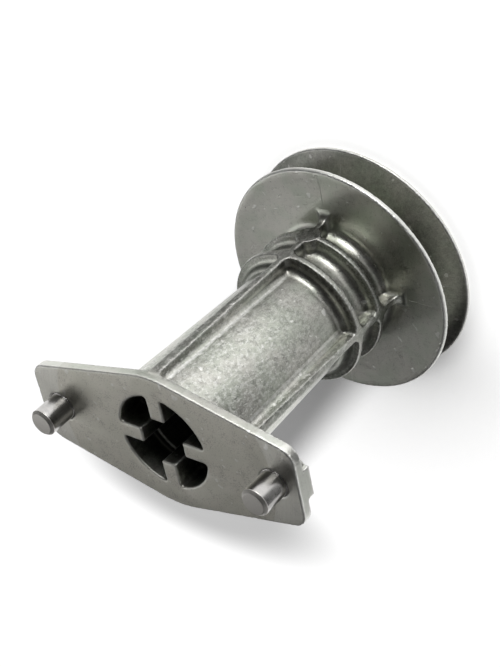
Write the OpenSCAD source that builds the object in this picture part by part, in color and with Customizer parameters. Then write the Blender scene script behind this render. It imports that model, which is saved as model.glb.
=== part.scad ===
// Blade holder of a rotary lawn mower: one die casting with a blade flange,
// a hollow ribbed shaft, two collars and a V-belt pulley, and two steel drive
// pins pressed into the flange. It stands on the rear face of its pulley:
// the origin is on the crankshaft axis in that face, +Z runs up to the blade
// face and X runs through the two pins. Millimetres.

/* [Overall] */
// Height from the rear face of the pulley to the blade face
holder_h = 83.2; // [70:0.1:110]
// Distance between the axes of the two drive pins
pin_spacing = 65; // [62:0.5:66]

/* [Blade flange] */
// Distance from the axis of a pin to the end of the flange
flange_end = 7.1; // [6:0.1:9]
// Half width of the flange at its flat ends
flange_end_half = 10.6; // [9:0.1:12]
// Half width at which the long edges would meet in the middle
flange_mid_half = 19.5; // [19:0.1:22]
// Thickness of the flange
flange_t = 2.6; // [2:0.1:5]
// Radius of the four end corners
flange_corner_r = 4.4; // [1:0.1:6]
// Radius where the long edges meet in the middle
flange_mid_r = 24; // [10:1:30]

/* [Pin bosses] */
// How far a boss stands behind the flange
boss_t = 2.1; // [1:0.1:4]
// Radius of a boss round its pin
boss_r = 7.4; // [5.5:0.1:8.5]
// Half width of the boss band at the end of the flange and towards the shaft
boss_band_half = 4.1; // [2:0.1:5]

/* [Drive pins] */
// Diameter of a drive pin where it stands out of the blade face
pin_d = 7.2; // [5:0.1:7.5]
// Diameter of the shank that is pressed into the flange and its boss
shank_d = 7.6; // [7:0.1:8.5]
// Length of pin that stands out of the blade face
pin_out = 7.7; // [4:0.1:15]
// Chamfer on both ends of a pin
pin_chamfer = 0.7; // [0.2:0.1:1.2]
// Radial gap drawn between a pin's shank and its hole
pin_gap = 0.01; // [0:0.01:0.1]

/* [Shaft] */
// Radius of the shaft where it meets the flange
shaft_r_top = 16.8; // [16.2:0.1:17.6]
// Radius of the shaft at the upper collar and below it
shaft_r = 15; // [14.4:0.1:16]
// Diameter of the bore for the crankshaft
bore_d = 22.2; // [18:0.1:23]
// Width of the keyway
key_w = 4.8; // [3:0.1:6]
// Depth of the keyway, outwards from the wall of the bore
key_depth = 2.3; // [1:0.1:2.6]
// Chamfer at the mouth of the bore
bore_chamfer = 0.8; // [0.3:0.1:1.5]

/* [Blade end opening] */
// Radius of the pocket in the blade face
pocket_r = 13; // [12:0.1:14]
// Depth of the pocket, and so of the four tabs that stop the crankshaft
tab_depth = 8; // [4:0.5:14]
// Width of a tab
tab_w = 4.2; // [2.5:0.1:6]
// Distance from the axis to the inner end of a tab
tab_in = 6.3; // [5.2:0.1:8]
// Radius in the corners beside the tabs
tab_root_r = 0.8; // [0.3:0.1:1.4]

/* [Ribs and collars] */
// Radius to the crests of the ribs and the rims of the collars
rib_r = 19; // [18:0.1:20.5]
// Thickness of a rib at the flange
rib_t_top = 3; // [2:0.1:4]
// Thickness of a rib at the collars and below them
rib_t = 1.8; // [1.4:0.1:3]
// Radius along the foot of a rib
rib_root_r = 1.2; // [0.5:0.1:1.5]
// Thickness of a collar at its rim
collar_t = 2; // [1.2:0.1:3]
// Height of the middle of the upper collar
upper_collar_z = 28.7; // [27:0.1:40]
// Height of the middle of the lower collar
lower_collar_z = 19.4; // [18.5:0.1:20.5]
// Radius between the shaft and a collar or the pulley, on the blade side
collar_root_r = 3; // [1.5:0.1:3.4]
// Radius between the shaft and the other side of a collar
collar_back_r = 2; // [0.8:0.1:2.6]
// Radius where the side of a rib meets a collar, the pulley or the flange
rib_end_r = 1.8; // [0.8:0.1:2.4]
// Radius by which the ribs flare out onto the pulley
fin_flare_r = 3; // [1.5:0.1:3.6]
// Diameter of the round pad on one rib, at the lower collar
pad_d = 6.6; // [4:0.1:8]

/* [Pulley] */
// Outer diameter of the pulley
pulley_d = 66; // [62:0.5:80]
// Width of the pulley at its rim
pulley_w = 12.3; // [12:0.1:14]
// Width of the front band of the rim
rim_front_w = 1.4; // [1:0.1:2.2]
// Width of the rear band of the rim
rim_back_w = 1.2; // [1:0.1:2.2]
// Angle between the walls of the belt groove, in degrees
groove_angle = 38; // [34:1:40]
// Depth of the belt groove
groove_depth = 9.5; // [7:0.1:10]
// How far the front face is dished towards the shaft
dish = 0.5; // [0:0.1:1]
// Radius of the flat middle of the dished front face
dish_r = 24; // [22:0.5:28]
// Depth of the recess in the rear face
back_recess = 1.6; // [0.5:0.1:2.5]
// Radius of the flat hub ring on the rear face
hub_r = 16.5; // [15:0.1:18]
// Width of the flat outer ring on the rear face
back_rim_w = 4; // [2:0.1:6]
// Rounding of the rims of the pulley and the collars
rim_round = 0.4; // [0.1:0.05:0.5]

/* [Hidden] */
$fn = 96;
sink = 0.4; // how far a joining piece reaches into what carries it
over = 1; // how far a cut runs past the face that it opens
proud = 0.002; // how far the flange's rounds bulge past their sides, to cross them cleanly
pulley_r = pulley_d / 2;
flange_len = pin_spacing + 2 * flange_end;
flange_z = holder_h - flange_t;
boss_z = flange_z - boss_t;
pin_r = pin_d / 2;
shank_r = shank_d / 2;
pin_top = holder_h + pin_out;
bore_r = bore_d / 2;
upper_top = upper_collar_z + collar_t / 2;
upper_low = upper_collar_z - collar_t / 2;
lower_top = lower_collar_z + collar_t / 2;
lower_low = lower_collar_z - collar_t / 2;
web_z = pulley_w - dish;
rib_half = rib_t / 2;
rib_half_top = rib_t_top / 2;
draft_len = flange_z - upper_top;
rib_start_r = (bore_r + shaft_r) / 2;

function unit(v) = v / norm(v);
function turn(a, v, b) = 180 - acos(unit(a - v) * unit(b - v));
// Where a round of radius r starts, on the side of corner v that runs to a
function tangent(a, v, b, r) = v + r * tan(turn(a, v, b) / 2) * unit(a - v);
function round_centre(a, v, b, r) =
    v + r / cos(turn(a, v, b) / 2) * unit(unit(a - v) + unit(b - v));

// Outline whose corners are rounded, each by its own radius
module rounded_outline(points, radii, bulge = 0) {
    n = len(points);
    difference() {
        polygon(points);
        for (i = [0 : n - 1])
            corner_waste(points[(i + n - 1) % n], points[i], points[(i + 1) % n], radii[i], bulge);
    }
}

// What the round of radius r takes off corner v, between neighbours a and b
module corner_waste(a, v, b, r, bulge) {
    centre = round_centre(a, v, b, r);
    reach = 1.02;
    kite = [centre, tangent(a, v, b, r), v, tangent(b, v, a, r)];
    difference() {
        polygon([for (p = kite) centre + reach * (p - centre)]);
        translate(centre) circle(r + bulge);
    }
}

// Fillet of radius r in the corner of the first quadrant, rooted behind both sides
module corner_fillet(r) difference() {
    translate([-sink, -sink]) square(r + sink);
    translate([r, r]) circle(r);
}

// Fillet between a rib along +X, of half thickness half, and a round shaft
module rib_root(shaft, half, r) {
    centre = [sqrt(pow(shaft + r, 2) - pow(half + r, 2)), half + r];
    foot = shaft / (shaft + r) * centre;
    deep = (shaft - sink) / (shaft + r) * centre;
    difference() {
        polygon([
            [shaft - 2 * sink, half - sink], [centre.x, half - sink], [centre.x, half],
            centre, foot, deep]);
        translate(centre) circle(r);
    }
}

// Revolved outline of the shaft and its two collars
module shaft_profile() {
    polygon([
        [0, web_z], [shaft_r, web_z], [shaft_r, upper_top],
        [shaft_r_top, flange_z + sink], [0, flange_z + sink]]);
    for (z = [lower_collar_z, upper_collar_z]) collar_profile(z);
    translate([shaft_r, web_z]) corner_fillet(collar_root_r);
    translate([shaft_r_top, flange_z]) mirror([0, 1]) corner_fillet(rib_root_r);
}

module collar_profile(z) {
    translate([0, z - collar_t / 2]) rounded_outline(
        [[shaft_r - sink, 0], [rib_r, 0], [rib_r, collar_t], [shaft_r - sink, collar_t]],
        [rim_round, rim_round, rim_round, rim_round]);
    translate([shaft_r, z + collar_t / 2]) corner_fillet(collar_root_r);
    translate([shaft_r, z - collar_t / 2]) mirror([0, 1]) corner_fillet(collar_back_r);
}

// Revolved outline of the pulley, with its belt groove and its rear recess
module pulley_profile() difference() {
    polygon([
        [0, 0], [pulley_r - rim_round, 0], [pulley_r, rim_round], [pulley_r, pulley_w - rim_round],
        [pulley_r - rim_round, pulley_w], [dish_r, web_z], [0, web_z]]);
    groove_profile();
    recess_profile();
}

module groove_profile() {
    wall = groove_depth * tan(groove_angle / 2);
    polygon([
        [pulley_r + over, rim_back_w], [pulley_r, rim_back_w],
        [pulley_r - groove_depth, rim_back_w + wall],
        [pulley_r - groove_depth, pulley_w - rim_front_w - wall],
        [pulley_r, pulley_w - rim_front_w], [pulley_r + over, pulley_w - rim_front_w]]);
}

module recess_profile() {
    outer = pulley_r - back_rim_w;
    polygon([
        [hub_r, -over], [hub_r, 0], [hub_r + back_recess, back_recess],
        [outer - back_recess, back_recess], [outer, 0], [outer, -over]]);
}

// Blade flange with its rounded outline
module flange() translate([0, 0, flange_z]) linear_extrude(flange_t) flange_outline();

module flange_outline() {
    end = flange_len / 2;
    rounded_outline(
        [[end, -flange_end_half], [end, flange_end_half], [0, flange_mid_half],
         [-end, flange_end_half], [-end, -flange_end_half], [0, -flange_mid_half]],
        [flange_corner_r, flange_corner_r, flange_mid_r, flange_corner_r, flange_corner_r, flange_mid_r],
        proud);
}

// Raised band behind the flange with a round boss at each pin
module pin_bosses() translate([0, 0, boss_z]) linear_extrude(boss_t + sink) intersection() {
    flange_outline();
    union() {
        square([flange_len, 2 * boss_band_half], center = true);
        for (side = [-1, 1]) translate([side * pin_spacing / 2, 0]) circle(boss_r);
    }
}

// Side view of a rib: thicker at the flange, with a round wherever it ends
module rib_section() {
    polygon([
        [-rib_half, web_z - sink], [rib_half, web_z - sink], [rib_half, upper_top],
        [rib_half_top, flange_z + sink], [-rib_half_top, flange_z + sink], [-rib_half, upper_top]]);
    for (side = [0, 1]) mirror([side, 0]) {
        for (z = [web_z, lower_top, upper_top]) translate([rib_half, z]) corner_fillet(rib_end_r);
        for (z = [lower_low, upper_low]) translate([rib_half, z]) mirror([0, 1]) corner_fillet(rib_end_r);
        translate([rib_half_top, flange_z]) mirror([0, 1]) corner_fillet(rib_root_r);
    }
}

// What the ribs fill: out to their crests, with the flare onto the pulley
module rib_envelope() rotate_extrude() {
    translate([0, web_z - sink]) square([rib_r, flange_z - web_z + 2 * sink]);
    translate([rib_r, web_z]) corner_fillet(fin_flare_r);
}

module ribs() intersection() {
    rib_envelope();
    for (a = [0 : 90 : 270]) rotate(a) translate([rib_start_r, 0, 0]) rotate([90, 0, 90])
        linear_extrude(rib_r + fin_flare_r + over - rib_start_r) rib_section();
}

// Fillets along the feet of the ribs, which lean with the draft above the collars
module rib_feet() {
    lean = [-atan((rib_half_top - rib_half) / draft_len), atan((shaft_r_top - shaft_r) / draft_len), 0];
    for (a = [0 : 90 : 270], side = [0, 1]) rotate(a) mirror([0, side, 0]) {
        translate([0, 0, web_z - sink]) linear_extrude(upper_top - web_z + sink)
            rib_root(shaft_r, rib_half, rib_root_r);
        translate([0, 0, upper_top]) rotate(lean) linear_extrude(draft_len + sink)
            rib_root(shaft_r, rib_half, rib_root_r);
    }
}

// Round pad on the rib at +Y, flush with its crest
module rib_pad() translate([0, rib_start_r, lower_collar_z]) rotate([-90, 0, 0])
    cylinder(d = pad_d, h = rib_r - rib_start_r);

// Pocket in the blade face, without its four tabs
module pocket() translate([0, 0, holder_h - tab_depth]) linear_extrude(tab_depth + over) difference() {
    circle(pocket_r);
    for (a = [0 : 90 : 270]) rotate(a) {
        translate([tab_in, -tab_w / 2]) square([pocket_r, tab_w]);
        for (side = [0, 1]) mirror([0, side]) tab_root();
    }
}

module tab_root() {
    half = tab_w / 2;
    centre = [sqrt(pow(pocket_r - tab_root_r, 2) - pow(half + tab_root_r, 2)), half + tab_root_r];
    foot = pocket_r / (pocket_r - tab_root_r) * centre;
    difference() {
        polygon([
            [centre.x, half - sink], centre, foot, foot * (1 + sink / pocket_r),
            [pocket_r + sink, half - sink]]);
        translate(centre) circle(tab_root_r);
    }
}

// Crankshaft bore with its chamfered mouth and its keyway
module crank_bore() {
    length = holder_h - tab_depth + over;
    translate([0, 0, -over]) cylinder(r = bore_r, h = length);
    translate([0, 0, -over])
        cylinder(r1 = bore_r + bore_chamfer + over, r2 = bore_r, h = bore_chamfer + over);
    translate([-key_w / 2, -bore_r - key_depth, -over]) cube([key_w, bore_r + key_depth, length]);
}

module pin_holes() for (side = [-1, 1]) translate([side * pin_spacing / 2, 0, boss_z - over])
    cylinder(r = shank_r + pin_gap, h = flange_t + boss_t + 2 * over);

module holder_casting() color("#8d8f88") difference() {
    union() {
        rotate_extrude() shaft_profile();
        rotate_extrude() pulley_profile();
        flange();
        pin_bosses();
        ribs();
        rib_feet();
        rib_pad();
    }
    pocket();
    crank_bore();
    pin_holes();
}

// Drive pin: its shank runs from the back of the boss to the blade face, where it steps
// down to the free end
module drive_pin(side) color("#b9bbbd") translate([side * pin_spacing / 2, 0, 0]) rotate_extrude()
    pin_profile();

module pin_profile() polygon([
    [0, boss_z], [shank_r - pin_chamfer, boss_z], [shank_r, boss_z + pin_chamfer],
    [shank_r, holder_h], [pin_r, holder_h],
    [pin_r, pin_top - pin_chamfer], [pin_r - pin_chamfer, pin_top], [0, pin_top]]);

holder_casting();
drive_pin(-1);  // drive_pin_left
drive_pin(1);  // drive_pin_right
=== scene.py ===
"""Dresses the mower's blade holder: a cast body with worn edges and two polished drive pins."""

import logging
import math
from dataclasses import dataclass
from enum import Enum
from typing import Any, Mapping, Sequence, TypeAlias

import bmesh
import bpy
import numpy as np
from mathutils import Matrix, Vector


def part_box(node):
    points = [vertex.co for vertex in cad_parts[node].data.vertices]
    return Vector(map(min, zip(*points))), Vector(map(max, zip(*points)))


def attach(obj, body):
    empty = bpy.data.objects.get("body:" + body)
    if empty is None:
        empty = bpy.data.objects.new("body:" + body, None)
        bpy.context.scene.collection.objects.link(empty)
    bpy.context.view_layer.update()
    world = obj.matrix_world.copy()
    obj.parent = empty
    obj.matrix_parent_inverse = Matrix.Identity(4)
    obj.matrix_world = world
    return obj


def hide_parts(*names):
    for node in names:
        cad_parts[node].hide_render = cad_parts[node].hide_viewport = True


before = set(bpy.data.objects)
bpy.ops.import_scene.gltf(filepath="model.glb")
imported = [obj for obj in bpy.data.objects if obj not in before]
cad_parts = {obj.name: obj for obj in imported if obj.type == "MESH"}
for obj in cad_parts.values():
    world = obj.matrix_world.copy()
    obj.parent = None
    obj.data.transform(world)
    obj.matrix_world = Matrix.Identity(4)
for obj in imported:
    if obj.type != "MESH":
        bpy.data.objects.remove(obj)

LOG = logging.getLogger("holder")
MM = 0.001
BODY = "root"
TINY = 1e-12
PIN_CHAMFER = 0.7 * MM
Colour: TypeAlias = tuple[float, float, float]
Place: TypeAlias = tuple[float, float, float]
Span: TypeAlias = tuple[float, float]
Belt: TypeAlias = tuple[float, float, float]
Operand: TypeAlias = "Signal | float"
BLACK: Colour = (0.0, 0.0, 0.0)
WHITE: Colour = (1.0, 1.0, 1.0)
# Where a noise from 0 to 1 turns from dark to light: softly, more softly and crisply.
SOFT: Span = (0.3, 0.7)
SOFTER: Span = (0.25, 0.75)
CRISP: Span = (0.35, 0.65)


class Side(Enum):
    """The two ends of the blade flange, by the sign of X."""

    LEFT = -1
    RIGHT = 1

    @property
    def node(self) -> str:
        """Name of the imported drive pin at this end."""
        return f"drive_pin_{self.name.lower()}"


@dataclass(frozen=True)
class Lumps:
    """A noise: about how large its lumps are, its detail and its roughness."""

    size: float
    detail: float = 2.0
    rough: float = 0.5


class Signal:
    """A value in a node tree, whose arithmetic adds Math nodes."""

    def __init__(self, graph: "Graph", socket: bpy.types.NodeSocket) -> None:
        """Wraps one output socket of a tree."""
        self.graph = graph
        self.socket = socket

    def maths(self, operation: str, *others: Operand) -> "Signal":
        """Adds a Math node.

        Args:
            operation: Name of the node's operation.
            others: The node's further inputs.

        Returns:
            The node's result.
        """
        return self.graph.maths(operation, self, *others)

    def __add__(self, other: Operand) -> "Signal":
        """Sum of the two."""
        return self.maths("ADD", other)

    __radd__ = __add__

    def __sub__(self, other: Operand) -> "Signal":
        """This less the other."""
        return self.maths("SUBTRACT", other)

    def __rsub__(self, other: Operand) -> "Signal":
        """The other less this."""
        return self.graph.maths("SUBTRACT", other, self)

    def __mul__(self, other: Operand) -> "Signal":
        """Product of the two."""
        return self.maths("MULTIPLY", other)

    __rmul__ = __mul__

    def __truediv__(self, other: Operand) -> "Signal":
        """This over the other."""
        return self.maths("DIVIDE", other)

    def __rtruediv__(self, other: Operand) -> "Signal":
        """The other over this."""
        return self.graph.maths("DIVIDE", other, self)

    def rise(self, low: float, high: float) -> "Signal":
        """Smooth step of this value.

        Args:
            low: Where the step is 0.
            high: Where the step is 1. It may be lower than low.

        Returns:
            A value from 0 to 1.
        """
        if low > high:
            return 1.0 - self.rise(high, low)
        settings = {"interpolation_type": "SMOOTHSTEP"}
        inputs = {"Value": self, "From Min": low, "From Max": high}
        return self.graph.signal("ShaderNodeMapRange", settings, inputs)

    def band(self, middle: float, half: float, soft: float) -> "Signal":
        """1 within half of the middle, and 0 from soft further out."""
        return (self - middle).maths("ABSOLUTE").rise(half + soft, half)

    def swing(self) -> "Signal":
        """How far a value from 0 to 1 is above a half."""
        return self - 0.5


class Graph:
    """A node tree that is written as expressions."""

    def __init__(self, tree: bpy.types.NodeTree) -> None:
        """Empties the tree and takes it over."""
        tree.nodes.clear()
        self.tree = tree

    def node(
        self,
        kind: str,
        settings: Mapping[str, Any] | None = None,
        inputs: Mapping[str | int, Any] | None = None,
    ) -> bpy.types.Node:
        """Adds a node of any type.

        Args:
            kind: The node's type.
            settings: Properties that are set before the sockets. "choices" holds the number of
                an index switch's items.
            inputs: Values or links, by the socket's name or place.

        Returns:
            The node.
        """
        made = self.tree.nodes.new(kind)
        for name, value in (settings or {}).items():
            if name == "choices":
                while len(made.index_switch_items) < value:
                    made.index_switch_items.new()
            else:
                setattr(made, name, value)
        for name, value in (inputs or {}).items():
            socket = made.inputs[name]
            if isinstance(value, Signal):
                self.tree.links.new(value.socket, socket)
            elif isinstance(value, bpy.types.NodeSocket):
                self.tree.links.new(value, socket)
            else:
                socket.default_value = value
        return made

    def signal(
        self,
        kind: str,
        settings: Mapping[str, Any] | None = None,
        inputs: Mapping[str | int, Any] | None = None,
        output: str | int = 0,
    ) -> Signal:
        """Adds a node and wraps one of its outputs, by name or place."""
        return Signal(self, self.node(kind, settings, inputs).outputs[output])

    def maths(self, operation: str, *values: Operand) -> Signal:
        """Adds a Math node with these inputs."""
        return self.signal("ShaderNodeMath", {"operation": operation}, dict(enumerate(values)))

    def colour(self, factor: Operand, first: Any, second: Any, blend: str = "MIX") -> Signal:
        """Mixes two colours.

        Args:
            factor: Share of the second.
            first: Colour or signal at factor 0.
            second: Colour or signal at factor 1.
            blend: How the second goes over the first.

        Returns:
            The mixed colour.
        """
        settings = {"data_type": "RGBA", "blend_type": blend}
        values = [c if isinstance(c, Signal) else (*c, 1.0) for c in (first, second)]
        inputs = {0: factor, 6: values[0], 7: values[1]}
        return self.signal("ShaderNodeMix", settings, inputs, 2)

    def noise(self, place: Signal, lumps: Lumps) -> Signal:
        """Adds a noise.

        Args:
            place: Where it is read.
            lumps: What it is like.

        Returns:
            A value from 0 to 1, round a half.
        """
        inputs = {"Vector": place, "Scale": 1.0 / lumps.size}
        inputs |= {"Detail": lumps.detail, "Roughness": lumps.rough}
        return self.signal("ShaderNodeTexNoise", {"normalize": True}, inputs, "Fac")

    def scaled(self, vector: Signal, amount: Operand) -> Signal:
        """A vector times a number."""
        inputs = {0: vector, "Scale": amount}
        return self.signal("ShaderNodeVectorMath", {"operation": "SCALE"}, inputs)

    def stretched(self, place: Signal, amounts: Place) -> Signal:
        """A vector with each of its parts times its own number."""
        inputs = {0: place, 1: amounts}
        return self.signal("ShaderNodeVectorMath", {"operation": "MULTIPLY"}, inputs)

    def parts(self, vector: Signal) -> tuple[Signal, Signal, Signal]:
        """The three parts of a vector."""
        split = self.node("ShaderNodeSeparateXYZ", None, {0: vector})
        return tuple(Signal(self, socket) for socket in split.outputs)

    def together(self, x: Operand, y: Operand, z: Operand) -> Signal:
        """A vector of three numbers."""
        return self.signal("ShaderNodeCombineXYZ", None, {0: x, 1: y, 2: z})

    def bump(self, height: Signal, depth: float, strength: float) -> Signal:
        """A normal from a height from 0 to 1, which stands for this depth."""
        inputs = {"Height": height, "Distance": depth, "Strength": strength}
        return self.signal("ShaderNodeBump", None, inputs)

    def finish_metal(self, shade: Signal, rough: Signal, bump: Signal) -> None:
        """Ends a material's tree in a metal.

        Args:
            shade: Its colour.
            rough: Its roughness.
            bump: Its normal.
        """
        inputs = {"Base Color": shade, "Metallic": 1.0, "Roughness": rough, "Normal": bump}
        shader = self.node("ShaderNodeBsdfPrincipled", None, inputs)
        self.node("ShaderNodeOutputMaterial", None, {"Surface": shader.outputs[0]})


class Recipe(Graph):
    """A Geometry Nodes tree whose sizes are named inputs."""

    def __init__(self, name: str, starts_from_mesh: bool = False) -> None:
        """Makes the tree.

        Args:
            name: Name of the tree.
            starts_from_mesh: Whether it changes its object's mesh or makes a new one.
        """
        super().__init__(bpy.data.node_groups.new(name, "GeometryNodeTree"))
        self.values: dict[str, Any] = {}
        faces = self.tree.interface
        faces.new_socket("Result", in_out="OUTPUT", socket_type="NodeSocketGeometry")
        if starts_from_mesh:
            faces.new_socket("Body", in_out="INPUT", socket_type="NodeSocketGeometry")
        self.entry = self.node("NodeGroupInput")

    def ask(self, name: str, value: Any, kind: str = "Float") -> Signal:
        """Adds a named input.

        Args:
            name: The input's name.
            value: What this object sets it to.
            kind: Its socket's kind.

        Returns:
            The input, to be used in the tree.
        """
        self.tree.interface.new_socket(name, in_out="INPUT", socket_type=f"NodeSocket{kind}")
        self.values[name] = value
        return Signal(self, self.entry.outputs[name])

    def pick(self, index: Signal, choices: Sequence[Signal]) -> Signal:
        """Chooses one of several vectors.

        Args:
            index: Number of the choice.
            choices: The vectors.

        Returns:
            The chosen vector.
        """
        settings = {"data_type": "VECTOR", "choices": len(choices)}
        inputs = {"Index": index, **{str(n): choice for n, choice in enumerate(choices)}}
        return self.signal("GeometryNodeIndexSwitch", settings, inputs)

    def route(self, stations: Sequence[Signal]) -> Signal:
        """Makes a curve of straight lines.

        Args:
            stations: The places that it runs through.

        Returns:
            The curve.
        """
        index = self.signal("GeometryNodeInputIndex")
        inputs = {"Count": len(stations), "Position": self.pick(index, stations)}
        points = self.signal("GeometryNodePoints", None, inputs)
        return self.signal("GeometryNodePointsToCurves", None, {"Points": points})

    def circle(self, radius: Operand, steps: int) -> Signal:
        """Makes a circle in the XY plane."""
        inputs = {"Resolution": steps, "Radius": radius}
        return self.signal("GeometryNodeCurvePrimitiveCircle", {"mode": "RADIUS"}, inputs)

    def serve(self, shape: Signal, skin: bpy.types.Material) -> None:
        """Ends the tree in plain geometry with one material.

        Args:
            shape: What the tree has made.
            skin: The material.
        """
        material = self.ask("Skin", skin, "Material")
        plain = self.signal("GeometryNodeRealizeInstances", None, {0: shape})
        inputs = {"Geometry": plain, "Material": material}
        dressed = self.signal("GeometryNodeSetMaterial", None, inputs)
        self.node("NodeGroupOutput", None, {0: dressed})

    def use(self, piece: bpy.types.Object) -> bpy.types.Mesh:
        """Runs the tree on a piece and keeps the result as its mesh.

        Args:
            piece: The piece, which has no other modifier.

        Returns:
            Its new mesh.
        """
        modifier = piece.modifiers.new(self.tree.name, "NODES")
        modifier.node_group = self.tree
        for item in self.tree.interface.items_tree:
            if item.in_out == "INPUT" and item.name in self.values:
                modifier[item.identifier] = self.values[item.name]
        return baked(piece)


def new_material(name: str) -> tuple[bpy.types.Material, Graph]:
    """Makes a material.

    Args:
        name: Its name.

    Returns:
        The material and its empty tree.
    """
    made = bpy.data.materials.new(name)
    made.use_nodes = True
    return made, Graph(made.node_tree)


def link(obj: bpy.types.Object) -> bpy.types.Object:
    """Adds an object to the scene."""
    bpy.context.scene.collection.objects.link(obj)
    return obj


def new_piece(name: str) -> bpy.types.Object:
    """Adds an empty piece at the origin."""
    return link(bpy.data.objects.new(name, bpy.data.meshes.new(name)))


def baked(obj: bpy.types.Object) -> bpy.types.Mesh:
    """Turns an object's modifiers into its plain mesh.

    Args:
        obj: An object whose modifiers are removed.

    Returns:
        Its new mesh.
    """
    graph = bpy.context.evaluated_depsgraph_get()
    mesh = bpy.data.meshes.new_from_object(obj.evaluated_get(graph), depsgraph=graph)
    obj.modifiers.clear()
    obj.data = mesh
    return mesh


def smooth(mesh: bpy.types.Mesh) -> None:
    """Shades every face of a mesh smoothly."""
    mesh.polygons.foreach_set("use_smooth", [True] * len(mesh.polygons))
    mesh.update()


def bends(mesh: bpy.types.Mesh, spread: int) -> np.ndarray:
    """Measures how sharply a mesh bends at each point.

    Args:
        mesh: A fine, even mesh.
        spread: How many times each point takes the average of itself and its neighbours.

    Returns:
        Mean curvature in 1/m, above 0 on outer edges and below 0 in inner corners.
    """
    count = len(mesh.vertices)
    place = np.empty(3 * count, np.float32)
    mesh.vertices.foreach_get("co", place)
    normal = np.empty(3 * count, np.float32)
    mesh.vertex_normals.foreach_get("vector", normal)
    ends = np.empty(2 * len(mesh.edges), np.int32)
    mesh.edges.foreach_get("vertices", ends)
    place, normal, ends = place.reshape(-1, 3), normal.reshape(-1, 3), ends.reshape(-1, 2)
    first, second = ends[:, 0], ends[:, 1]
    step = place[second] - place[first]
    length = np.maximum((step ** 2).sum(1), TINY)
    neighbours = np.bincount(first, minlength=count) + np.bincount(second, minlength=count)

    def averaged(at_first: np.ndarray, at_second: np.ndarray) -> np.ndarray:
        """Averages at each point what its edges bring."""
        total = np.bincount(first, at_first, count) + np.bincount(second, at_second, count)
        return total / np.maximum(neighbours, 1)

    bend = averaged(
        -2 * (step * normal[first]).sum(1) / length, 2 * (step * normal[second]).sum(1) / length
    )
    for _ in range(spread):
        bend = 0.5 * bend + 0.5 * averaged(bend[second], bend[first])
    return bend


def keep_attribute(mesh: bpy.types.Mesh, name: str, values: np.ndarray) -> None:
    """Stores one number for each point of a mesh."""
    made = mesh.attributes.new(name, "FLOAT", "POINT")
    made.data.foreach_set("value", values.astype(np.float32))


@dataclass(frozen=True)
class Zones:
    """Places on the casting, each as a mask from 0 to 1.

    A span is where a mask is 0 and where it is 1. A belt is its middle, half its width and the
    softness of its edges. Rings are distances from the axis.
    """

    x: Signal
    y: Signal
    z: Signal
    radius: Signal
    face_height: Span = (82.75 * MM, 82.95 * MM)
    shaft_ring: Belt = (15.9 * MM, 1.5 * MM, 0.3 * MM)
    shaft_height: Span = (24.0 * MM, 60.0 * MM)
    rib_ring: Belt = (20.1 * MM, 2.4 * MM, 0.9 * MM)
    rib_height: Belt = (47.0 * MM, 32.0 * MM, 2.0 * MM)
    foot_ring: Belt = (16.0 * MM, 0.8 * MM, 0.4 * MM)
    foot_height: Belt = (56.0 * MM, 23.0 * MM, 2.0 * MM)
    foot_offset: Belt = (1.65 * MM, 0.2 * MM, 0.4 * MM)
    rib_draft: float = 0.0125
    neck_ring: Belt = (15.5 * MM, 0.9 * MM, 0.3 * MM)
    neck_height: Belt = (33.0 * MM, 5.0 * MM, 22.0 * MM)
    groove_ring: Span = (22.4 * MM, 24.0 * MM)
    groove_height: Belt = (6.05 * MM, 4.5 * MM, 0.6 * MM)
    pocket_ring: Span = (13.9 * MM, 13.3 * MM)
    pocket_mouth: Span = (82.9 * MM, 75.0 * MM)
    pocket_floor: Span = (54.0 * MM, 60.0 * MM)
    bore_ring: Span = (11.5 * MM, 11.3 * MM)
    bore_height: Span = (75.6 * MM, 75.0 * MM)
    hub_ring: Span = (16.9 * MM, 16.4 * MM)
    hub_height: Span = (0.3 * MM, 0.1 * MM)
    rim_ring: Span = (32.2 * MM, 32.6 * MM)

    def face(self) -> Signal:
        """The blade face."""
        return self.z.rise(*self.face_height)

    def shaft(self) -> Signal:
        """The round of the shaft between its ribs, from the collars up."""
        return self.radius.band(*self.shaft_ring) * self.z.rise(*self.shaft_height)

    def ribs(self) -> Signal:
        """What stands out of the shaft: the ribs and the collars."""
        return self.radius.band(*self.rib_ring) * self.z.band(*self.rib_height)

    def feet(self) -> Signal:
        """Narrow lines along the foot of each rib, which get thicker towards the flange: where a
        highlight is painted.

        Returns:
            The mask.
        """
        aside = self.x.maths("ABSOLUTE").maths("MINIMUM", self.y.maths("ABSOLUTE"))
        lines = (aside - self.rib_draft * self.z).band(*self.foot_offset)
        return lines * self.radius.band(*self.foot_ring) * self.z.band(*self.foot_height)

    def neck(self) -> Signal:
        """The shaft just above the collars, and less and less of it further up, where shade is
        painted.
        """
        return self.radius.band(*self.neck_ring) * self.z.band(*self.neck_height)

    def groove(self) -> Signal:
        """The belt groove, where shade is painted."""
        return self.z.band(*self.groove_height) * self.radius.rise(*self.groove_ring)

    def pocket(self) -> Signal:
        """The opening in the blade face, down to the end of the tabs and a little below them, where
        shade is painted.
        """
        depth = self.z.rise(*self.pocket_mouth) * self.z.rise(*self.pocket_floor)
        return depth * self.radius.rise(*self.pocket_ring)

    def turned(self) -> Signal:
        """Where the casting is turned to size: its bore, hub ring and the bands of its rim.

        Returns:
            The mask.
        """
        bore = self.radius.rise(*self.bore_ring) * self.z.rise(*self.bore_height)
        hub = self.z.rise(*self.hub_height) * self.radius.rise(*self.hub_ring)
        return (bore + hub + self.radius.rise(*self.rim_ring)).maths("MINIMUM", 1.0)


@dataclass(frozen=True)
class CastTexture:
    """What varies over the casting, each from 0 to 1."""

    zones: Zones
    face: Signal
    shaft: Signal
    ribs: Signal
    crest: Signal
    nook: Signal
    clouds: Signal
    blotches: Signal
    mottle: Signal
    grain: Signal
    chips: Signal
    dings: Signal
    marks: Signal


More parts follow.
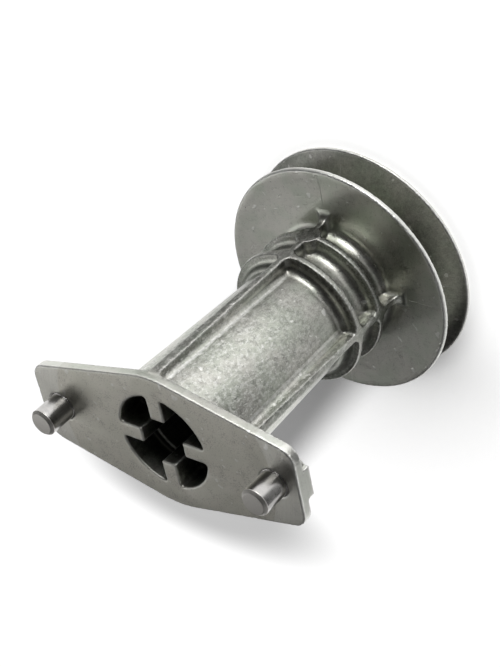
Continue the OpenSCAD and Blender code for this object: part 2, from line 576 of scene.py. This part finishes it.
@dataclass(frozen=True)
class Burnish:
    """Bare metal where the casting is worn, turned, chipped or dinged, and a painted highlight at the
    ribs.
    """

    crest: float = 0.35
    crest_mottle: float = 0.35
    feet: float = 0.4
    feet_mottle: float = 0.4
    turned: float = 0.33
    turned_marks: float = 0.54
    shaft_chips: float = 0.55
    crest_chips: float = 0.22
    rib_chips: float = 0.35
    dings: float = 0.5

    def share(self, on: CastTexture) -> Signal:
        """Mixes the shares.

        Args:
            on: The casting's texture.

        Returns:
            Share of bare metal and of the painted highlight.
        """
        uneven = on.mottle.rise(*SOFT)
        rubbed = on.crest * (self.crest + self.crest_mottle * uneven)
        # Painted highlight: a light line along the foot of each rib, in the bare metal's colour.
        rubbed = rubbed + on.zones.feet() * (self.feet + self.feet_mottle * uneven)
        turned = on.zones.turned() * (self.turned + self.turned_marks * on.marks.swing())
        chipped = self.shaft_chips * on.shaft + self.crest_chips * on.crest
        chipped = on.chips * (chipped + self.rib_chips * on.ribs)
        return (rubbed + turned + chipped + self.dings * on.dings).maths("MINIMUM", 1.0)


@dataclass(frozen=True)
class Lightness:
    """How light the skin is: a base, additions, and dimming, which is painted shade on neck, groove
    and pocket.
    """

    base: float = 0.72
    mottle: float = 0.34
    grain: float = 0.34
    face_grain: float = 0.2
    face_shift: float = 0.2
    face_blotches: float = 0.16
    face_clouds: float = 0.12
    shaft_mottle: float = 0.9
    shaft_dim: float = 0.525
    ribs_dim: float = 0.46
    neck_dim: float = 0.42
    groove_dim: float = 0.42
    pocket_dim: float = 0.85

    def value(self, on: CastTexture) -> Signal:
        """Mixes the lightness.

        Args:
            on: The casting's texture.

        Returns:
            What the skin's colour is multiplied by.
        """
        grain = on.grain.rise(*SOFT) - self.face_shift * on.face
        grain = grain * (self.grain + self.face_grain * on.face)
        patches = self.face_blotches * on.blotches.rise(*SOFT).swing()
        patches = patches + self.face_clouds * on.clouds.rise(*SOFT).swing()
        light = self.base + self.mottle * on.mottle.rise(*SOFTER) + grain + on.face * patches
        light = light * (1.0 + on.shaft * (self.shaft_mottle * on.mottle - self.shaft_dim))
        light = light * (1.0 - self.ribs_dim * on.ribs)
        # Painted shade: the shaft just above the collars is darkened.
        light = light * (1.0 - self.neck_dim * on.zones.neck())
        # Painted shade: the belt groove is darkened.
        light = light * (1.0 - self.groove_dim * on.zones.groove())
        # Painted shade: the opening in the blade face is darkened.
        return light * (1.0 - self.pocket_dim * on.zones.pocket())


@dataclass(frozen=True)
class Sheen:
    """How rough the skin is: a base, and what is added to it."""

    base: float = 0.31
    mottle: float = 0.16
    clouds: float = 0.06
    crest: float = 0.12
    face: float = 0.09

    def value(self, on: CastTexture) -> Signal:
        """Mixes the roughness.

        Args:
            on: The casting's texture.

        Returns:
            The roughness.
        """
        rough = self.base + self.mottle * on.mottle.swing() + self.clouds * on.clouds.swing()
        return rough + self.crest * on.crest + self.face * on.face


@dataclass(frozen=True)
class Relief:
    """The skin's fine relief: the share of each texture in its height, and its depth."""

    grain: float = 1.2
    mottle: float = 0.6
    shaft_mottle: float = 0.5
    chips: float = 0.8
    dings: float = 0.8
    depth: float = 0.04 * MM
    strength: float = 0.8

    def normal(self, g: Graph, on: CastTexture) -> Signal:
        """Mixes the relief.

        Args:
            g: The material's tree.
            on: The casting's texture.

        Returns:
            The normal.
        """
        height = self.grain * on.grain + on.mottle * (self.mottle + self.shaft_mottle * on.shaft)
        height = height + self.chips * on.chips * (on.shaft + on.crest + on.ribs)
        return g.bump(height + self.dings * on.dings, self.depth, self.strength)


@dataclass(frozen=True)
class CastSkin:
    """Skin of a pressure die casting: satin, mottled, burnished where worn; with painted highlight
    and shade.
    """

    name: str = "cast_skin"
    metal: Colour = (0.615, 0.61, 0.56)
    cool: Colour = (0.55, 0.575, 0.505)
    warm: Colour = (0.665, 0.64, 0.565)
    face_warmth: float = 0.7
    # Colour of bare metal, also used for the painted highlight along the foot of each rib.
    rubbed: Colour = (0.88, 0.88, 0.85)
    # Colour of the painted shade in inner corners and creases.
    grime: Colour = (0.20, 0.20, 0.18)
    grime_share: float = 0.7
    worn_everywhere: float = 0.0
    spared_on_ribs: float = 0.8
    clouds: Lumps = Lumps(7.0 * MM)
    blotches: Lumps = Lumps(3.2 * MM)
    mottle: Lumps = Lumps(1.5 * MM, 4.0, 0.62)
    grain: Lumps = Lumps(0.38 * MM, 2.0, 0.65)
    chips: Lumps = Lumps(0.75 * MM, 4.0, 0.75)
    chip_stretch: Place = (1.0, 1.0, 0.7)
    chip_step: Span = (0.47, 0.63)
    dings: Lumps = Lumps(2.4 * MM, 1.0)
    ding_step: Span = (0.70, 0.73)
    tool_marks: Lumps = Lumps(0.22 * MM, 2.0, 0.7)
    burnish: Burnish = Burnish()
    lightness: Lightness = Lightness()
    sheen: Sheen = Sheen()
    relief: Relief = Relief()

    def build(self) -> bpy.types.Material:
        """Makes the material.

        Returns:
            The material, which reads the wear and nook attributes of its piece.
        """
        made, g = new_material(self.name)
        on = self._texture(g)
        tone = g.colour(on.clouds.rise(*CRISP), self.metal, self.cool)
        tone = g.colour(self.face_warmth * on.face, tone, self.warm)
        light = g.colour(self.lightness.value(on), BLACK, WHITE)
        shade = g.colour(1.0, tone, light, "MULTIPLY")
        # Bare metal where worn, with a painted highlight along the foot of each rib.
        shade = g.colour(self.burnish.share(on), shade, self.rubbed)
        # Painted shade: inner corners and creases are darkened, except on the blade face.
        shade = g.colour(self.grime_share * on.nook * (1.0 - on.face), shade, self.grime)
        g.finish_metal(shade, self.sheen.value(on), self.relief.normal(g, on))
        return made

    def _texture(self, g: Graph) -> CastTexture:
        """Adds what varies over the casting.

        Args:
            g: The material's tree.

        Returns:
            The texture.
        """
        place = g.signal("ShaderNodeTexCoord", output="Object")
        x, y, z = g.parts(place)
        zones = Zones(x, y, z, (x * x + y * y).maths("SQRT"))
        face, ribs = zones.face(), zones.ribs()
        wear = g.signal("ShaderNodeAttribute", {"attribute_name": "wear"}, None, "Fac")
        crest = wear * (1.0 - self.spared_on_ribs * ribs) + self.worn_everywhere
        chips = g.noise(g.stretched(place, self.chip_stretch), self.chips)
        return CastTexture(
            zones=zones,
            face=face,
            shaft=zones.shaft() * (1.0 - face),
            ribs=ribs,
            crest=crest.maths("MINIMUM", 1.0),
            nook=g.signal("ShaderNodeAttribute", {"attribute_name": "nook"}, None, "Fac"),
            clouds=g.noise(place, self.clouds),
            blotches=g.noise(place, self.blotches),
            mottle=g.noise(place, self.mottle),
            grain=g.noise(place, self.grain),
            chips=chips.rise(*self.chip_step),
            dings=g.noise(place, self.dings).rise(*self.ding_step),
            marks=g.noise(g.together(zones.radius, 0.0, z), self.tool_marks),
        )


@dataclass(frozen=True)
class PinSteel:
    """Ground and polished steel, matt on the sheared end."""

    top: float
    chamfer: float = PIN_CHAMFER
    end_chamfers: Span = (1.3, 0.9)
    metal: Colour = (0.56, 0.55, 0.535)
    sheared: Colour = (0.70, 0.68, 0.64)
    sheared_even: float = 0.35
    sheared_dull: float = 0.9
    grind: Lumps = Lumps(0.5 * MM, 3.0, 0.6)
    grind_stretch: Place = (0.25, 0.25, 3.0)
    smear: Lumps = Lumps(2.5 * MM, 3.0, 0.6)
    dull: Lumps = Lumps(0.35 * MM, 2.0, 0.6)
    light: float = 0.86
    smear_light: float = 0.2
    grind_light: float = 0.12
    roughness: float = 0.20
    matt: float = 0.50
    smear_rough: float = 0.16
    grind_rough: float = 0.08
    dull_rough: float = 0.1
    grind_relief: float = 0.5
    relief_depth: float = 0.008 * MM
    relief_strength: float = 0.6

    def build(self) -> bpy.types.Material:
        """Makes the material.

        Returns:
            The material.
        """
        made, g = new_material("pin_steel")
        place = g.signal("ShaderNodeTexCoord", output="Object")
        _, _, z = g.parts(place)
        end = z.rise(*(self.top - share * self.chamfer for share in self.end_chamfers))
        grind = g.noise(g.stretched(place, self.grind_stretch), self.grind)
        smear = g.noise(place, self.smear)
        dull = g.noise(place, self.dull)
        light = self.light + self.smear_light * smear.rise(*SOFT)
        light = light + self.grind_light * grind.swing()
        shade = g.colour(1.0, self.metal, g.colour(light, BLACK, WHITE), "MULTIPLY")
        sheared = end * (self.sheared_even + self.sheared_dull * dull)
        shade = g.colour(sheared, shade, self.sheared)
        rough = self.roughness + self.smear_rough * smear.swing() + self.grind_rough * grind.swing()
        rough = rough + end * (self.matt - self.roughness + self.dull_rough * dull.swing())
        height = self.grind_relief * grind + end * dull
        g.finish_metal(shade, rough, g.bump(height, self.relief_depth, self.relief_strength))
        return made


@dataclass(frozen=True)
class WebProfile:
    """Height of the pulley's dished front face, by its distance from the axis."""

    low: float = 11.8 * MM
    dish: float = 0.5 * MM
    middle: float = 18.0 * MM
    bend: float = 24.0 * MM
    rim: float = 32.6 * MM

    def packed(self, radius: np.ndarray) -> np.ndarray:
        """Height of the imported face, which is flat and then a cone."""
        share = np.clip((radius - self.bend) / (self.rim - self.bend), 0, 1)
        return self.low + self.dish * share

    def even(self, radius: np.ndarray) -> np.ndarray:
        """Height of the same face as one even curve, as it is cast."""
        share = np.clip((radius - self.middle) / (self.rim - self.middle), 0, 1)
        return self.low + self.dish * share ** 2

    def station(self, radius: float) -> Span:
        """Radius and height of a place on the even face."""
        return radius, float(self.even(np.array(radius)))


@dataclass
class Casting:
    """The cast body, with the rounded edges and corners of a real casting."""

    skin: bpy.types.Material
    node: str = "holder_casting"
    weld: float = 0.001 * MM
    grid: float = 0.25 * MM
    softness: float = 0.5
    soft_rounds: int = 5
    triangles: int = 190_000
    chipped: float = 0.08 * MM
    dents: Lumps = Lumps(1.3 * MM)
    dent_step: Span = (0.52, 0.68)
    dent_seed: float = 4.0
    wear_spread: int = 5
    sharp_bend: float = 900.0
    flat_bend: float = 150.0
    web: WebProfile = WebProfile()
    web_below: float = 0.3 * MM
    web_above: float = 1.1 * MM
    web_fade: float = 1.0 * MM

    def build(self) -> bpy.types.Object:
        """Makes the dressed body.

        Returns:
            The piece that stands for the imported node.
        """
        piece = new_piece("cast_body")
        piece.data = self._welded()
        self._round(piece)
        self._even_web(piece.data)
        self._mark_wear(piece.data)
        self._chip(piece)
        self._thin(piece)
        smooth(piece.data)
        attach(piece, BODY)
        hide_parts(self.node)
        return piece

    def _welded(self) -> bpy.types.Mesh:
        """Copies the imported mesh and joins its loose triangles.

        Returns:
            The mesh, whose triangles share their corners.
        """
        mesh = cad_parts[self.node].data.copy()
        welded = bmesh.new()
        welded.from_mesh(mesh)
        bmesh.ops.remove_doubles(welded, verts=welded.verts, dist=self.weld)
        welded.to_mesh(mesh)
        welded.free()
        return mesh

    def _round(self, piece: bpy.types.Object) -> None:
        """Rebuilds the surface on a fine grid and rounds every edge and corner of it.

        Args:
            piece: The body.
        """
        remesh = piece.modifiers.new("grid", "REMESH")
        remesh.mode = "VOXEL"
        remesh.voxel_size = self.grid
        remesh.adaptivity = 0.0
        soften = piece.modifiers.new("soften", "SMOOTH")
        soften.factor = self.softness
        soften.iterations = self.soft_rounds
        baked(piece)

    def _even_web(self, mesh: bpy.types.Mesh) -> None:
        """Blends the crease of the pulley's front face away, by less than 0.1 mm.

        Args:
            mesh: The body's mesh.
        """
        place = np.empty(3 * len(mesh.vertices), np.float32)
        mesh.vertices.foreach_get("co", place)
        place = place.reshape(-1, 3)
        radius = np.hypot(place[:, 0], place[:, 1])
        above = place[:, 2] - self.web.packed(radius)
        share = np.clip((self.web_above - above) / self.web_fade, 0, 1)
        share = share * (above > -self.web_below) * (radius < self.web.rim)
        place[:, 2] += share * (self.web.even(radius) - self.web.packed(radius))
        mesh.vertices.foreach_set("co", place.ravel())
        mesh.update()

    def _mark_wear(self, mesh: bpy.types.Mesh) -> None:
        """Notes where edges stand out and get worn, and where inner corners get painted shade.

        Args:
            mesh: The body's mesh.
        """
        bend = bends(mesh, spread=self.wear_spread)
        span = self.sharp_bend - self.flat_bend
        keep_attribute(mesh, "wear", np.clip((bend - self.flat_bend) / span, 0, 1))
        keep_attribute(mesh, "nook", np.clip((-bend - self.flat_bend) / span, 0, 1))

    def _chip(self, piece: bpy.types.Object) -> None:
        """Knocks small dents into the edges, as on a part from a bin.

        Args:
            piece: The body.
        """
        recipe = Recipe("edge_chips", starts_from_mesh=True)
        depth = recipe.ask("Depth", self.chipped)
        size = recipe.ask("Dent size", self.dents.size)
        seed = recipe.ask("Seed", self.dent_seed)
        place = recipe.signal("GeometryNodeInputPosition")
        settings = {"noise_dimensions": "4D"}
        inputs = {"Vector": place, "W": seed, "Scale": 1.0 / size, "Detail": self.dents.detail}
        dent = recipe.signal("ShaderNodeTexNoise", settings, inputs, "Fac").rise(*self.dent_step)
        settings = {"data_type": "FLOAT"}
        edge = recipe.signal("GeometryNodeInputNamedAttribute", settings, {"Name": "wear"})
        inward = recipe.scaled(recipe.signal("GeometryNodeInputNormal"), -1.0 * depth * dent * edge)
        body = Signal(recipe, recipe.entry.outputs["Body"])
        moved = recipe.signal("GeometryNodeSetPosition", None, {"Geometry": body, "Offset": inward})
        recipe.serve(moved, self.skin)
        recipe.use(piece)

    def _thin(self, piece: bpy.types.Object) -> None:
        """Takes out the triangles that flat stretches don't need.

        Args:
            piece: The body.
        """
        thin = piece.modifiers.new("thin", "DECIMATE")
        thin.ratio = self.triangles / (2 * len(piece.data.polygons))
        thin.use_collapse_triangulate = True
        baked(piece)


@dataclass
class PartingLines:
    """Low beads where the halves of the die met, once at the foot of each rib."""

    skin: bpy.types.Material
    bead: float = 0.14 * MM
    groove_bead: float = 0.08 * MM
    sunk: float = 0.08 * MM
    bead_sides: int = 10
    copies: int = 4
    web: WebProfile = WebProfile()
    web_radii: tuple[float, ...] = (22.4 * MM, 25.0 * MM, 27.5 * MM, 30.0 * MM, 32.3 * MM)
    groove_mouth: float = 32.6 * MM
    groove_floor: float = 23.5 * MM
    groove_front: Span = (10.87 * MM, 7.63 * MM)
    groove_back: Span = (1.23 * MM, 4.47 * MM)

    def build(self) -> list[bpy.types.Object]:
        """Makes the beads.

        Returns:
            One piece on the web and one in the belt groove.
        """
        web = [self.web.station(radius) for radius in self.web_radii]
        groove = (
            (self.groove_mouth, self.groove_front[0]), (self.groove_floor, self.groove_front[1]),
            (self.groove_floor, self.groove_back[1]), (self.groove_mouth, self.groove_back[0]),
        )
        return [
            self._beads("web_parting_lines", web, self.bead, self.sunk),
            self._beads("groove_parting_lines", groove, self.groove_bead, 0.0),
        ]

    def _beads(
        self, name: str, stations: Sequence[Span], thickness: float, sunk: float
    ) -> bpy.types.Object:
        """Makes one bead and repeats it round the axis.

        Args:
            name: Name of the piece.
            stations: Radius and height of the places that the bead runs through.
            thickness: Radius of the bead.
            sunk: How far its middle lies below those places.

        Returns:
            The piece.
        """
        recipe = Recipe(name)
        bead = recipe.ask("Bead radius", thickness)
        copies = recipe.ask("Copies", self.copies, "Int")
        places = []
        for number, (radius, height) in enumerate(stations):
            out = recipe.ask(f"Radius {number}", radius)
            up = recipe.ask(f"Height {number}", height - sunk)
            places.append(recipe.together(out, 0.0, up))
        line = recipe.route(places)
        section = recipe.circle(bead, self.bead_sides)
        inputs = {"Curve": line, "Profile Curve": section, "Fill Caps": True}
        tube = recipe.signal("GeometryNodeCurveToMesh", None, inputs)
        index = recipe.signal("GeometryNodeInputIndex")
        angle = index * (2.0 * math.pi / self.copies)
        inputs = {"Axis": (0, 0, 1), "Angle": angle}
        turn = recipe.signal("FunctionNodeAxisAngleToRotation", None, inputs)
        centre = recipe.signal("GeometryNodePoints", None, {"Count": copies})
        inputs = {"Points": centre, "Instance": tube, "Rotation": turn}
        recipe.serve(recipe.signal("GeometryNodeInstanceOnPoints", None, inputs), self.skin)
        piece = new_piece(name)
        smooth(recipe.use(piece))
        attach(piece, BODY)
        return piece


@dataclass
class DrivePin:
    """A stepped steel pin, pressed into the flange."""

    side: Side
    skin: bpy.types.Material
    free_radius: float = 3.6 * MM
    shank_radius: float = 3.8 * MM
    step: float = 83.2 * MM
    chamfer: float = PIN_CHAMFER
    edge: float = 0.35 * MM
    edge_steps: int = 4
    sides: int = 96
    axis: float = 0.001 * MM
    weld: float = 0.005 * MM

    def build(self) -> bpy.types.Object:
        """Makes the pin.

        Returns:
            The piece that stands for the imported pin.
        """
        low, high = (Vector(corner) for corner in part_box(self.side.node))
        recipe = Recipe(self.side.node + "_turning")
        free = recipe.ask("Free radius", self.free_radius)
        shank = recipe.ask("Shank radius", self.shank_radius)
        chamfer = recipe.ask("Chamfer", self.chamfer)
        edge = recipe.ask("Edge rounding", self.edge)
        foot = recipe.ask("Foot", low.z)
        step = recipe.ask("Step", self.step)
        top = recipe.ask("Top", high.z)
        place = recipe.ask("Place along X", (low.x + high.x) / 2)
        stations = [
            (0.0, foot), (shank - chamfer, foot), (shank, foot + chamfer), (shank, step),
            (free, step), (free, top - chamfer), (free - chamfer, top), (0.0, top),
        ]
        # Swept round a circle, an outline's Y points down.
        corners = [recipe.together(radius, 0.0 - height, 0.0) for radius, height in stations]
        outline = recipe.route(corners)
        inputs = {"Curve": outline, "Count": self.edge_steps, "Radius": edge, "Limit Radius": True}
        outline = recipe.signal("GeometryNodeFilletCurve", {"mode": "POLY"}, inputs)
        inputs = {"Curve": recipe.circle(self.axis, self.sides), "Profile Curve": outline}
        spun = recipe.signal("GeometryNodeCurveToMesh", None, inputs)
        inputs = {"Geometry": spun, "Distance": self.weld}
        closed = recipe.signal("GeometryNodeMergeByDistance", None, inputs)
        outward = recipe.signal("GeometryNodeFlipFaces", None, {0: closed})
        inputs = {"Geometry": outward, "Translation": recipe.together(place, 0.0, 0.0)}
        recipe.serve(recipe.signal("GeometryNodeTransform", None, inputs), self.skin)
        piece = new_piece(self.side.node + "_steel")
        smooth(recipe.use(piece))
        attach(piece, BODY)
        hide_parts(self.side.node)
        return piece


@dataclass(frozen=True)
class Softbox:
    """A rectangular lamp that faces the object, with its place and sizes in mm."""

    name: str
    at: Place
    width: float
    height: float
    brightness: float
    aim: Place = (0.0, 0.0, 40.0)
    power: float = 4.0

    def build(self) -> bpy.types.Object:
        """Makes the lamp.

        Returns:
            The lamp, whose power goes with its area and its brightness.
        """
        data = bpy.data.lights.new(self.name, "AREA")
        data.shape = "RECTANGLE"
        data.size = self.width * MM
        data.size_y = self.height * MM
        data.energy = self.power * data.size * data.size_y * self.brightness
        made = link(bpy.data.objects.new(self.name, data))
        made.visible_camera = False
        way = Vector(self.aim) - Vector(self.at)
        turn = way.to_track_quat("-Z", "Y").to_matrix().to_4x4()
        made.matrix_world = Matrix.Translation(Vector(self.at) * MM) @ turn
        return made


@dataclass(frozen=True)
class Card:
    """A round dark card on the floor that only the metal mirrors, with its sizes in mm."""

    middle: Span
    reach: Span
    darkness: float
    core: float = 0.64

    def left(self, x: Signal, y: Signal) -> Signal:
        """How much of the floor's light a card leaves.

        Args:
            x: The floor's X.
            y: The floor's Y.

        Returns:
            1 away from the card, and less on it.
        """
        across = (x - self.middle[0] * MM) / (self.reach[0] * MM)
        along = (y - self.middle[1] * MM) / (self.reach[1] * MM)
        away = (across * across + along * along).maths("SQRT")
        return 1.0 - self.darkness * away.rise(1.0, self.core)


@dataclass(frozen=True)
class CastShadow:
    """The soft shadow of the shaft and the flange on the floor, away from the brightest side."""

    fall: Span = (-86.0 * MM, -116.0 * MM)
    shaft_darkness: float = 0.86
    shaft_belt: Belt = (0.0, 13.0 * MM, 14.0 * MM)
    shaft_start: Span = (0.0, 20.0 * MM)
    shaft_end: Span = (1.2, 0.8)
    flange_darkness: float = 0.6
    flange_half: Span = (48.0 * MM, 20.0 * MM)
    flange_edge: Span = (1.4, 0.6)

    def depth(self, x: Signal, y: Signal) -> Signal:
        """How dark the shadow is.

        Args:
            x: The floor's X.
            y: The floor's Y.

        Returns:
            The share of light that it takes.
        """
        reach = math.hypot(*self.fall)
        way_x, way_y = (part / reach for part in self.fall)
        along = x * way_x + y * way_y
        across = y * way_x - x * way_y
        shaft = across.band(*self.shaft_belt) * along.rise(*self.shaft_start)
        shaft = shaft * along.rise(*(share * reach for share in self.shaft_end))
        wide = (x - self.fall[0]) / self.flange_half[0]
        deep = (y - self.fall[1]) / self.flange_half[1]
        flange = (wide * wide + deep * deep).maths("SQRT").rise(*self.flange_edge)
        return (self.shaft_darkness * shaft).maths("MAXIMUM", self.flange_darkness * flange)


@dataclass
class Studio:
    """Floor, lamps, surroundings and camera."""

    camera_at: Place = (223.8, 228.2, 276.7)
    camera_aim: Place = (-6.1, 1.1, 40.9)
    camera_up: Place = (-0.2355, 0.8046, -0.5452)
    focal_px: float = 1603.6
    frame_px: tuple[int, int] = (500, 667)
    sensor: float = 36.0
    clip: Span = (0.01, 20.0)
    floor_half: float = 3.0
    floor_paint: float = 0.8
    floor_glow: float = 0.95
    floor_glow_from: Span = (20.0 * MM, 40.0 * MM)
    contact_reach: float = 85.0 * MM
    contact_side: Span = (0.0, -42.0 * MM)
    contact_depth: float = 2.0
    contact_least: float = 0.1
    contact_samples: int = 8
    shadow: CastShadow = CastShadow()
    cards: tuple[Card, ...] = (
        Card(middle=(110.0, -25.0), reach=(64.0, 160.0), darkness=0.48),
        Card(middle=(185.0, 0.0), reach=(105.0, 140.0), darkness=0.92),
        Card(middle=(-68.0, 80.0), reach=(75.0, 75.0), darkness=0.75),
    )
    zenith: float = 0.02
    horizon: float = 0.16
    dim_from: float = 0.55
    lamps: tuple[Softbox, ...] = (
        Softbox("key_box", (91.0, 467.0, 107.0), 300.0, 200.0, 4.00),
        Softbox("face_box", (-414.0, -184.0, 434.0), 250.0, 250.0, 1.05),
        Softbox("near_box", (-96.0, -153.0, 280.0), 110.0, 90.0, 0.52),
        Softbox("left_box", (-423.0, 37.0, 464.0), 260.0, 260.0, 0.55),
        Softbox("right_box", (398.0, -398.0, 365.0), 380.0, 380.0, 0.25),
    )

    def build(self) -> None:
        """Makes everything round the object."""
        self.camera()
        self.floor()
        self.surroundings()
        for lamp in self.lamps:
            lamp.build()

    def camera(self) -> bpy.types.Object:
        """Makes the camera at the photograph's viewing angle.

        Returns:
            The camera.
        """
        data = bpy.data.cameras.new("camera")
        data.sensor_width = self.sensor
        data.lens = self.focal_px * data.sensor_width / max(self.frame_px)
        data.clip_start, data.clip_end = self.clip
        made = link(bpy.data.objects.new("camera", data))
        back = (Vector(self.camera_at) - Vector(self.camera_aim)).normalized()
        right = Vector(self.camera_up).cross(back).normalized()
        up = back.cross(right)
        turn = Matrix((right, up, back)).transposed().to_4x4()
        made.matrix_world = Matrix.Translation(Vector(self.camera_at) * MM) @ turn
        bpy.context.scene.camera = made
        return made

    def floor(self) -> bpy.types.Object:
        """Makes the pale floor that the pulley stands on.

        Returns:
            The floor, which isn't part of the object.
        """
        floor = new_piece("floor")
        half = self.floor_half
        corners = [(-half, -half, 0.0), (half, -half, 0.0), (half, half, 0.0), (-half, half, 0.0)]
        floor.data.from_pydata(corners, [], [(0, 1, 2, 3)])
        floor.data.materials.append(self._floor_skin())
        return floor

    def _floor_skin(self) -> bpy.types.Material:
        """Makes the floor's white, with the object's shadow on it.

        Returns:
            The material.
        """
        made, g = new_material("floor_white")
        path = g.node("ShaderNodeLightPath")
        camera, glossy, through = (
            Signal(g, path.outputs[f"Is {name} Ray"]) for name in ("Camera", "Glossy", "Transmission")
        )
        seen = camera.maths("MAXIMUM", glossy).maths("MAXIMUM", through)
        x, y, _ = g.parts(g.signal("ShaderNodeTexCoord", output="Object"))
        left = self.cards[0].left(x, y)
        for card in self.cards[1:]:
            left = left * card.left(x, y)
        left = left.maths("MAXIMUM", camera)
        paint = g.colour(self.floor_paint * left, BLACK, WHITE)
        matt = g.node("ShaderNodeBsdfDiffuse", None, {"Color": paint})
        settings = {"samples": self.contact_samples}
        inputs = {"Distance": self.contact_reach}
        open_sky = g.signal("ShaderNodeAmbientOcclusion", settings, inputs, "AO")
        contact = self.contact_depth * y.rise(*self.contact_side) * (1.0 - open_sky)
        lit = (1.0 - contact).maths("MAXIMUM", self.contact_least)
        lit = lit * (x * x + y * y).maths("SQRT").rise(*self.floor_glow_from)
        lit = lit * (1.0 - self.shadow.depth(x, y))
        glow = g.node("ShaderNodeEmission", None, {"Strength": seen * self.floor_glow * lit * left})
        both = g.node("ShaderNodeAddShader", None, {0: matt.outputs[0], 1: glow.outputs[0]})
        g.node("ShaderNodeOutputMaterial", None, {"Surface": both.outputs[0]})
        return made

    def surroundings(self) -> None:
        """Sets the light from all round: pale near the horizon and dim overhead."""
        world = bpy.data.worlds.new("studio")
        world.use_nodes = True
        bpy.context.scene.world = world
        g = Graph(world.node_tree)
        _, _, up = g.parts(g.signal("ShaderNodeTexCoord", output="Generated"))
        strength = self.zenith + (self.horizon - self.zenith) * up.rise(self.dim_from, 0.0)
        inputs = {"Color": (*WHITE, 1.0), "Strength": strength}
        back = g.node("ShaderNodeBackground", None, inputs)
        g.node("ShaderNodeOutputWorld", None, {"Surface": back.outputs[0]})


def main() -> None:
    """Builds every piece and the studio round it."""
    logging.basicConfig(level=logging.INFO, format="%(name)s: %(message)s")
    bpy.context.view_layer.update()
    Studio().build()
    pieces = [Casting(CastSkin().build()).build()]
    pieces += PartingLines(CastSkin("trimmed_skin", worn_everywhere=0.5).build()).build()
    _, pin_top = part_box(Side.LEFT.node)
    steel = PinSteel(top=pin_top[2]).build()
    pieces += [DrivePin(side, steel).build() for side in Side]
    for piece in pieces:
        LOG.info("%s has %d faces", piece.name, len(piece.data.polygons))
    bpy.context.scene.view_settings.view_transform = "Standard"


if __name__ == "__main__":
    main()
